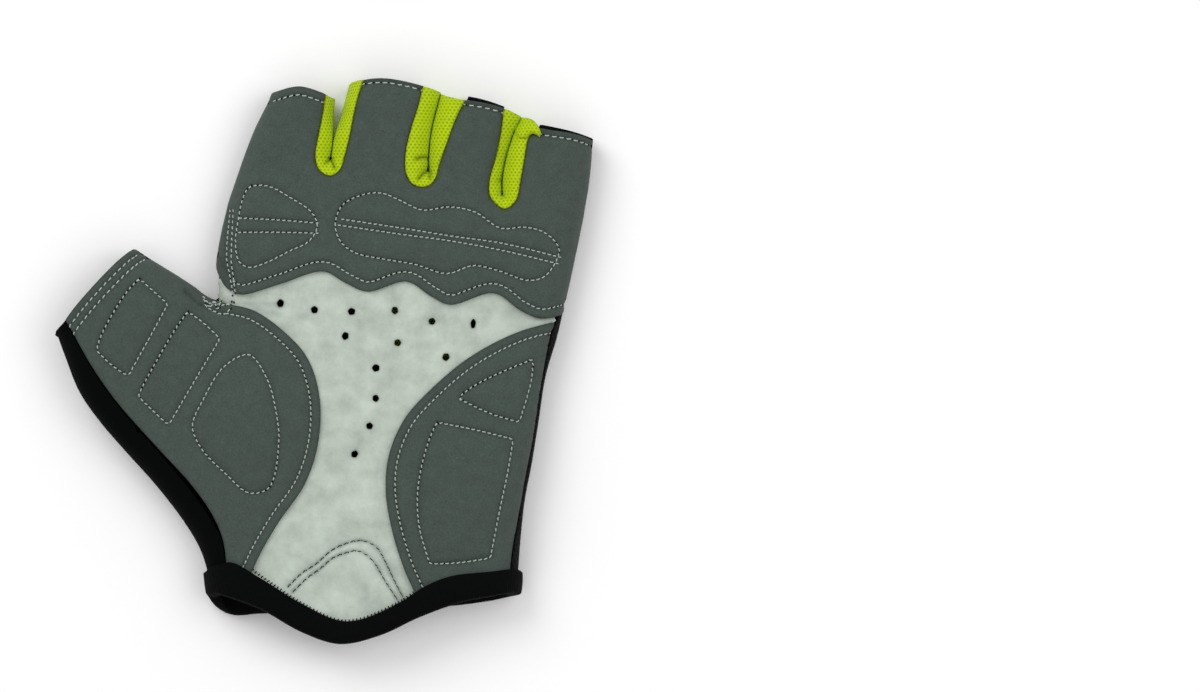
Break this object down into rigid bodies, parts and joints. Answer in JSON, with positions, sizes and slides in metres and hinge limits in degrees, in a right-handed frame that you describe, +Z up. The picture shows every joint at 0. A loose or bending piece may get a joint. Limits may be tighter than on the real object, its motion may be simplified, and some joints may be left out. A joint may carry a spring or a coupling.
{
  "type": "cycling glove",
  "caption": "Half-finger cycling glove for the left hand, padded suede palm, knit gussets between the fingers and a bound cuff, lying palm up.",
  "frame": {"origin": "centre of the glove's bounding box, on the floor it lies on", "axes": "+Z up out of the palm, +Y from the cuff towards the fingers, square to the cuff, +X towards the little finger"},
  "size_m": [0.162, 0.1708, 0.0194],
  "materials": {
    "palm_leather": "white synthetic leather, fine matt grain",
    "grey_suede": "grey synthetic suede, matt",
    "black_fabric": "black stretch fabric, smooth and matt",
    "black_mesh": "black open knit mesh",
    "neon_knit": "neon yellow-green knit with small dimples",
    "black_binding": "black ribbed elastic binding"
  },
  "bodies": {
    "root": {"palm_base": "palm_leather", "finger_panel": "grey_suede", "thumb_panel": "grey_suede", "heel_panel": "grey_suede", "thumb_back": "black_fabric", "back_panel": "black_mesh", "back_insert": "neon_knit", "gusset_index_middle": "neon_knit", "gusset_middle_ring": "neon_knit", "gusset_ring_little": "neon_knit", "cuff_binding": "black_binding"}
  },
  "joints": []
}
